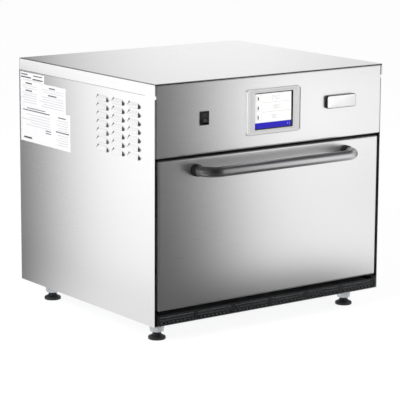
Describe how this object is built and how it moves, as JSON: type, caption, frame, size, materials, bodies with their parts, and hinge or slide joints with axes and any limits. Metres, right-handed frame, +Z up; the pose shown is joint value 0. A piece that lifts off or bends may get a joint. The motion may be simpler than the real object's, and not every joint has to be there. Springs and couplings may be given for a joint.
{
  "type": "speed oven",
  "caption": "Countertop speed oven: stainless casing with louvred sides, drop-down door with tube handle, touch display, slide-out filter and levelling feet.",
  "frame": {"origin": "on the surface the oven stands on, below the middle of its box", "axes": "+Z up, the front with door and display looks along -Y, +X to the right as seen from the front"},
  "size_m": [0.719, 0.7048, 0.642],
  "materials": {
    "casing_steel": "brushed stainless, grain along the front and along the side",
    "galvanised_sheet": "zinc-coated sheet",
    "liner_steel": "bright stainless",
    "black_enamel": "satin black",
    "black_plastic": "satin black moulding",
    "handle_grey": "satin dark grey tube",
    "bezel_silver": "silver moulding",
    "display_face": "lit white screen",
    "badge_face": "blank pale plate",
    "circuit_board": "green board",
    "fibre_board": "mineral fibre",
    "seal_rubber": "silicone",
    "ceramic_core": "heat-proof ceramic",
    "iron_core": "laminated iron",
    "filter_fleece": "pleated filter fleece"
  },
  "bodies": {
    "oven_body": {"top_cover": "casing_steel", "left_side_panel": "casing_steel", "right_side_panel": "casing_steel", "control_fascia": "casing_steel", "rear_panel": "galvanised_sheet", "rear_cowl": "galvanised_sheet", "base_pan": "galvanised_sheet", "fan_plenum": "galvanised_sheet", "hot_air_duct": "galvanised_sheet", "component_shelf": "galvanised_sheet", "waveguide_left": "galvanised_sheet", "waveguide_right": "galvanised_sheet", "magnetron_left": "galvanised_sheet", "magnetron_right": "galvanised_sheet", "convection_motor": "galvanised_sheet", "cavity_box": "liner_steel", "rear_wall_grille": "liner_steel", "upper_impinger_plate": "liner_steel", "lower_impinger_plate": "liner_steel", "wire_rack": "liner_steel", "hinge_arm_left": "liner_steel", "hinge_arm_right": "liner_steel", "capacitor": "liner_steel", "front_frame": "black_enamel", "switch_housing": "black_plastic", "cooling_fan_frame": "black_plastic", "cord_gland": "black_plastic", "screen_bezel": "bezel_silver", "touch_display": "display_face", "badge_block": "badge_face", "control_board": "circuit_board", "relay_board": "circuit_board", "insulation_blanket": "fibre_board", "catalytic_converter": "ceramic_core", "heater_coil": "ceramic_core", "transformer_left": "iron_core", "transformer_right": "iron_core"},
    "door": {"door_outer_skin": "casing_steel", "door_inner_panel": "liner_steel", "door_insulation": "fibre_board", "door_choke_frame": "liner_steel", "door_seal": "seal_rubber", "handle_bar": "handle_grey", "handle_collar_left": "black_plastic", "handle_collar_right": "black_plastic", "hinge_clevis_left": "liner_steel", "hinge_clevis_right": "liner_steel", "hinge_pin_left": "liner_steel", "hinge_pin_right": "liner_steel", "door_spring_left": "liner_steel", "door_spring_right": "liner_steel"},
    "rocker": {"power_rocker": "black_plastic"},
    "filter_drawer": {"filter_tray": "black_enamel", "filter_pad": "filter_fleece"},
    "convection_fan": {"convection_impeller": "liner_steel"},
    "cooling_fan": {"cooling_fan_rotor": "black_plastic"},
    "foot_front_left": {"front_left_foot": "black_plastic"},
    "foot_front_right": {"front_right_foot": "black_plastic"},
    "foot_rear_left": {"rear_left_foot": "black_plastic"},
    "foot_rear_right": {"rear_right_foot": "black_plastic"}
  },
  "joints": [
    {"name": "door_hinge", "type": "hinge", "parent": "oven_body", "child": "door", "pos_m": [0, -0.2696, 0.098], "axis": [1, 0, 0], "range_deg": [0, 90], "stiffness_Nm_per_rad": 5, "springref_deg": -20.05},
    {"name": "rocker_tilt", "type": "hinge", "parent": "oven_body", "child": "rocker", "pos_m": [-0.2103, -0.2796, 0.5495], "axis": [1, 0, 0], "range_deg": [0, 18]},
    {"name": "filter_slide", "type": "slide", "parent": "oven_body", "child": "filter_drawer", "axis": [0, -1, 0], "range_m": [0, 0.24]},
    {"name": "convection_fan_spin", "type": "hinge", "parent": "oven_body", "child": "convection_fan", "pos_m": [0, 0.1644, 0.27003], "axis": [0, 1, 0], "continuous": true},
    {"name": "cooling_fan_spin", "type": "hinge", "parent": "oven_body", "child": "cooling_fan", "pos_m": [0, 0.322, 0.30002], "axis": [0, 1, 0], "continuous": true},
    {"name": "front_left_foot_turn", "type": "hinge", "parent": "oven_body", "child": "foot_front_left", "pos_m": [-0.3, -0.2156, 0.02], "axis": [0, 0, 1], "continuous": true},
    {"name": "front_right_foot_turn", "type": "hinge", "parent": "oven_body", "child": "foot_front_right", "pos_m": [0.3, -0.2156, 0.02], "axis": [0, 0, 1], "continuous": true},
    {"name": "rear_left_foot_turn", "type": "hinge", "parent": "oven_body", "child": "foot_rear_left", "pos_m": [-0.3, 0.2694, 0.02], "axis": [0, 0, 1], "continuous": true},
    {"name": "rear_right_foot_turn", "type": "hinge", "parent": "oven_body", "child": "foot_rear_right", "pos_m": [0.3, 0.2694, 0.02], "axis": [0, 0, 1], "continuous": true}
  ]
}
